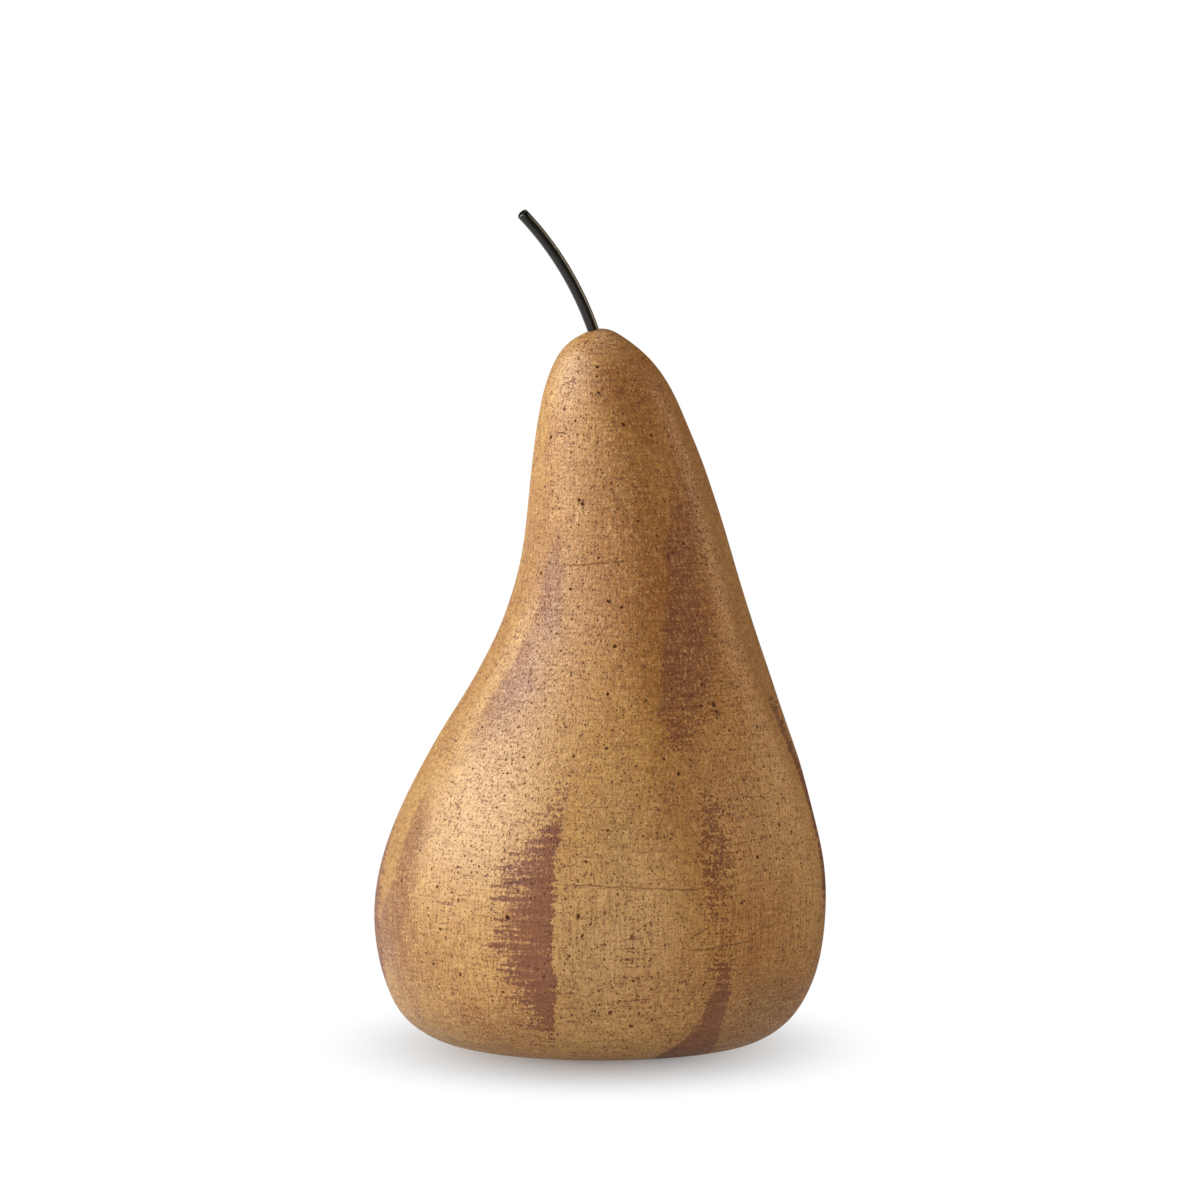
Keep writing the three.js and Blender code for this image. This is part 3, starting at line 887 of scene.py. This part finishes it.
def brush_on(paint):
    """Satin waxed ochre paint, worn and skipped over a red-brown ground, with painted shade and
    highlights.
    """
    paint.use_nodes = True
    tree = paint.node_tree
    tree.nodes.clear()
    place = add_node(tree, "ShaderNodeTexCoord")
    spot = add_node(tree, "ShaderNodeVectorMath", {"operation": "SCALE"},
                    {0: place.outputs["Object"], "Scale": 1 / MM}).outputs["Vector"]

    # The marks of the brush, level and upright, and the slower changes along the body
    level_bristles = stretched_noise(tree, spot, (0.09, 0.09, 1.0), 2.0, 0.6)
    upright_bristles = stretched_noise(tree, spot, (1.0, 1.0, 0.06), 3.0, 0.65)
    level_hairs = stretched_noise(tree, spot, (0.2, 0.2, 1.4), 2.0, 0.6)
    upright_hairs = stretched_noise(tree, spot, (1.4, 1.4, 0.16), 2.0, 0.6)
    grain = stretched_noise(tree, spot, (1.3, 1.3, 1.3), 3.0, 0.7)
    cloud = stretched_noise(tree, spot, (0.05, 0.05, 0.03), 3.0, 0.6)
    bands = stretched_noise(tree, spot, (0.16, 0.16, 0.012), 2.0, 0.5)

    # Where the ochre covers: all but the combed and the flecked patches and a few thin places
    weave = maths(tree, "MULTIPLY_ADD", level_bristles, 0.46,
                  maths(tree, "MULTIPLY", upright_hairs, 0.1))
    touched = maths(tree, "MULTIPLY_ADD", grain, 0.44, weave)
    touched = ramp(tree, touched, 0.38, 0.63)
    thin = ramp(tree, maths(tree, "ADD", cloud, bands), 0.95, 1.35, 0.0, 0.3)
    missed = maths(tree, "MAXIMUM", mesh_value(tree, "bare"), thin)
    combed_cover = ramp(tree, maths(tree, "SUBTRACT", touched, missed), -0.14, 0.1)
    scrubbed = maths(tree, "MULTIPLY_ADD", grain, 0.7, maths(tree, "MULTIPLY", level_hairs, 0.3))
    scrubbed = ramp(tree, scrubbed, 0.38, 0.62)
    flecked_cover = ramp(tree, maths(tree, "SUBTRACT", scrubbed, mesh_value(tree, "flecked")),
                         -0.2, 0.0)
    ochre_cover = maths(tree, "MINIMUM", combed_cover, flecked_cover)

    # The colours of the two coats, the stains in them, and painted shade and highlights
    ochre = blend(tree, ramp(tree, bands, 0.35, 0.65), OCHRE, DEEPER_OCHRE)
    ochre = blend(tree, ramp(tree, cloud, 0.4, 0.65, 0.0, 0.4), ochre, CLOUDED_OCHRE)
    # Pale ovals lighten the ochre, partly as painted highlights; darker ovals deepen it, partly as
    # painted shade.
    ochre = blend(tree, maths(tree, "MULTIPLY", mesh_value(tree, "pale"), 0.8), ochre, PALE_OCHRE_AND_HIGHLIGHT)
    ochre = blend(tree, maths(tree, "MULTIPLY", mesh_value(tree, "worn_and_shaded"), 0.85), ochre, WORN_OCHRE_AND_SHADE)
    ground = blend(tree, ramp(tree, level_bristles, 0.35, 0.65), GROUND, LIGHTER_GROUND)
    washed = maths(tree, "MULTIPLY", mesh_value(tree, "washed"), 0.7)
    ochre = blend(tree, washed, ochre, ground)
    colour = blend(tree, ochre_cover, ground, ochre)
    colour = blend(tree, maths(tree, "MULTIPLY", mesh_value(tree, "rusty"), 0.6), colour, RUST)
    greyish = maths(tree, "MULTIPLY", mesh_value(tree, "greyish"), 0.4)
    colour = blend(tree, greyish, colour, GREY_GREEN)

    # Brown wax between the bristle ridges, and the rubbed tops of the ridges
    hairs = maths(tree, "MULTIPLY_ADD", level_hairs, 0.8, upright_hairs)
    grit = stretched_noise(tree, spot, (2.4, 2.4, 2.4), 1.0)
    mottle = maths(tree, "MULTIPLY_ADD", grit, 1.4, maths(tree, "ADD", hairs, grain))
    dark_grain = ramp(tree, mottle, 2.02, 1.64, 0.0, 0.75)
    light_grain = maths(tree, "MULTIPLY", ramp(tree, mottle, 2.16, 2.55, 0.0, 0.6),
                        ramp(tree, ochre_cover, 0.0, 1.0, 0.2, 1.0))
    colour = blend(tree, dark_grain, colour, WAX_BETWEEN_BRISTLES)
    colour = blend(tree, light_grain, colour, RUBBED_RIDGE)
    level_lines = maths(tree, "MULTIPLY", hair_lines(tree, spot, (0.13, 0.13, 0.9), 0.1),
                        ramp(tree, level_bristles, 0.52, 0.66))
    upright_lines = maths(tree, "MULTIPLY", hair_lines(tree, spot, (0.9, 0.9, 0.13), 0.1),
                          ramp(tree, upright_bristles, 0.47, 0.6))
    lines = maths(tree, "MAXIMUM", level_lines, upright_lines)
    colour = blend(tree, maths(tree, "MULTIPLY", lines, 0.4), colour, WAX_IN_LINES)

    # Pinholes with ragged rims, the real hollows, and scratches, all with dark wax in them. The
    # dark in the pinholes and hollows is also painted shade, and in the real hollows it deepens
    # with depth.
    ragged = add_node(tree, "ShaderNodeTexNoise", None, {"Vector": spot, "Scale": 2.2})
    pulled = add_node(tree, "ShaderNodeVectorMath", {"operation": "MULTIPLY_ADD"},
                      {0: ragged.outputs["Color"], 1: (0.5, 0.5, 0.5), 2: spot})
    fine = specks(tree, pulled.outputs["Vector"], 0.8, 0.26)
    coarse = specks(tree, pulled.outputs["Vector"], 1.7, 0.48)
    pinholes = maths(tree, "MAXIMUM", fine, coarse)
    # Painted shade in the real hollows, darker the deeper a corner lies below the skin.
    painted_hollow_shade = ramp(tree, mesh_value(tree, "pit_depth"), 0.08, 0.32)
    scratches = scratch_marks(tree, spot)
    pinhole_wax_and_shade = maths(tree, "MAXIMUM", ramp(tree, pinholes, 0.3, 0.9), painted_hollow_shade)
    colour = blend(tree, maths(tree, "MULTIPLY", scratches, 0.5), colour, WAX_IN_SCRATCHES)
    # Dark wax and painted shade in the pinholes.
    colour = blend(tree, maths(tree, "MULTIPLY", pinhole_wax_and_shade, 0.85), colour, WAX_AND_SHADE_IN_PINHOLES)

    # The relief of all of it, and duller wax in the hollows
    film = maths(tree, "MULTIPLY", ochre_cover, FILM_THICKNESS)
    ridges = maths(tree, "MULTIPLY", mottle, BRISTLE_RIDGE)
    combed = maths(tree, "MULTIPLY_ADD", lines, -LINE_DEPTH, ridges)
    hollow = maths(tree, "MULTIPLY", maths(tree, "MAXIMUM", pinholes, scratches), -SPECK_DEPTH)
    relief = maths(tree, "ADD", maths(tree, "ADD", film, combed), hollow)
    bump = add_node(tree, "ShaderNodeBump", None,
                    {"Height": relief, "Strength": 1.0, "Distance": 1.0})
    sheen = ramp(tree, maths(tree, "MAXIMUM", pinhole_wax_and_shade, dark_grain), 0.0, 1.0, 0.5, 0.8)
    shader = add_node(tree, "ShaderNodeBsdfPrincipled", None, {
        "Base Color": colour,
        "Roughness": sheen,
        "IOR": 1.63,
        "Normal": bump.outputs["Normal"],
    })
    add_node(tree, "ShaderNodeOutputMaterial", None, {"Surface": shader.outputs[0]})


brush_on(body_paint)
print("body paint:", len(body_paint.node_tree.nodes), "nodes; slots on the body:",
      list(body.data.materials))

# %% [markdown]
# ## The wire stem
#
# The stem is one length of 3 mm steel wire, bent in an even curve, cut, its end rounded on a
# grinder, and dipped in black lacquer. It is a tube of rings set square to the same curve
# as the carved frame uses; the last few rings draw in to round the end.

# %% Sweep the wire
WIRE_SIDES = 32
WIRE_STEP = 1.0 * MM
END_ROUNDING = 0.6 * MM
STEM_LENGTH = STEM_BEND_RADIUS * (STEM_LEAN_AT_TIP - STEM_LEAN_AT_FOOT)


def stem_spot(length):
    """The middle of the wire at a length from the foot, and its direction there."""
    if length <= 0:
        direction = stem_direction(STEM_LEAN_AT_FOOT)
        return STEM_FOOT + direction * length, direction
    lean = STEM_LEAN_AT_FOOT + length / STEM_BEND_RADIUS
    rise = STEM_BEND_RADIUS * (math.sin(lean) - math.sin(STEM_LEAN_AT_FOOT))
    drift = STEM_BEND_RADIUS * (math.cos(STEM_LEAN_AT_FOOT) - math.cos(lean))
    return STEM_FOOT + Vector((0, 0, rise)) + STEM_SIDE * drift, stem_direction(lean)


def wire_sections():
    """Lengths along the wire with its radius there, from the root to the rounded end."""
    steps = round((STEM_ROOT + STEM_LENGTH - END_ROUNDING) / WIRE_STEP)
    lengths = np.linspace(-STEM_ROOT, STEM_LENGTH - END_ROUNDING, steps)
    sections = [(length, WIRE_RADIUS) for length in lengths]
    for turn in np.radians((22.5, 45, 67.5, 90)):
        forward = STEM_LENGTH - END_ROUNDING * (1 - math.sin(turn))
        sections.append((forward, WIRE_RADIUS - END_ROUNDING * (1 - math.cos(turn))))
    return sections


def wire_mesh():
    """A closed tube over the wire's sections."""
    shape = bmesh.new()
    across = STEM_SIDE.cross(Vector((0, 0, 1))).normalized()
    loops = []
    for length, thickness in wire_sections():
        middle, direction = stem_spot(length)
        other = direction.cross(across)
        turns = [2 * math.pi * i / WIRE_SIDES for i in range(WIRE_SIDES)]
        loops.append([
            shape.verts.new(middle + (across * math.cos(t) + other * math.sin(t)) * thickness)
            for t in turns
        ])
    for low, high in zip(loops, loops[1:]):
        for i in range(WIRE_SIDES):
            after = (i + 1) % WIRE_SIDES
            shape.faces.new((low[i], low[after], high[after], high[i]))
    shape.faces.new(loops[0][::-1])
    shape.faces.new(loops[-1])
    bmesh.ops.recalc_face_normals(shape, faces=shape.faces)
    mesh = bpy.data.meshes.new("black_wire_stem")
    shape.to_mesh(mesh)
    shape.free()
    mesh.shade_smooth()
    mesh.set_sharp_from_angle(angle=math.radians(50))
    return mesh


def black_lacquer():
    """Black lacquer on wire: a satin gloss with the faint ripple of a dipped coat."""
    lacquer = bpy.data.materials.new("black_lacquer_on_steel_wire")
    lacquer.use_nodes = True
    tree = lacquer.node_tree
    tree.nodes.clear()
    place = add_node(tree, "ShaderNodeTexCoord")
    spot = add_node(tree, "ShaderNodeVectorMath", {"operation": "SCALE"},
                    {0: place.outputs["Object"], "Scale": 1 / MM}).outputs["Vector"]
    ripple = stretched_noise(tree, spot, (0.5, 0.5, 0.3))
    bump = add_node(tree, "ShaderNodeBump", None, {
        "Height": maths(tree, "MULTIPLY", ripple, 0.08 * MM), "Strength": 1.0, "Distance": 1.0,
    })
    shader = add_node(tree, "ShaderNodeBsdfPrincipled", None, {
        "Base Color": linear("#15120f"),
        "Roughness": ramp(tree, ripple, 0.3, 0.7, 0.22, 0.34),
        "Normal": bump.outputs["Normal"],
    })
    add_node(tree, "ShaderNodeOutputMaterial", None, {"Surface": shader.outputs[0]})
    return lacquer


stem = bpy.data.objects.new("black_wire_stem", wire_mesh())
bpy.context.scene.collection.objects.link(stem)
stem.data.materials.append(black_lacquer())
print("stem:", len(stem.data.polygons), "faces")

# %% [markdown]
# ## Hand over
#
# Both finished pieces take the places of their carved solids and ride on the one body of the
# frame.

# %% Put the pieces in the frame
for piece, node, slot in ((body, "pear_body", "painted_body"), (stem, "stem", "black_lacquer")):
    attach(piece, "root")
    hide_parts(node)
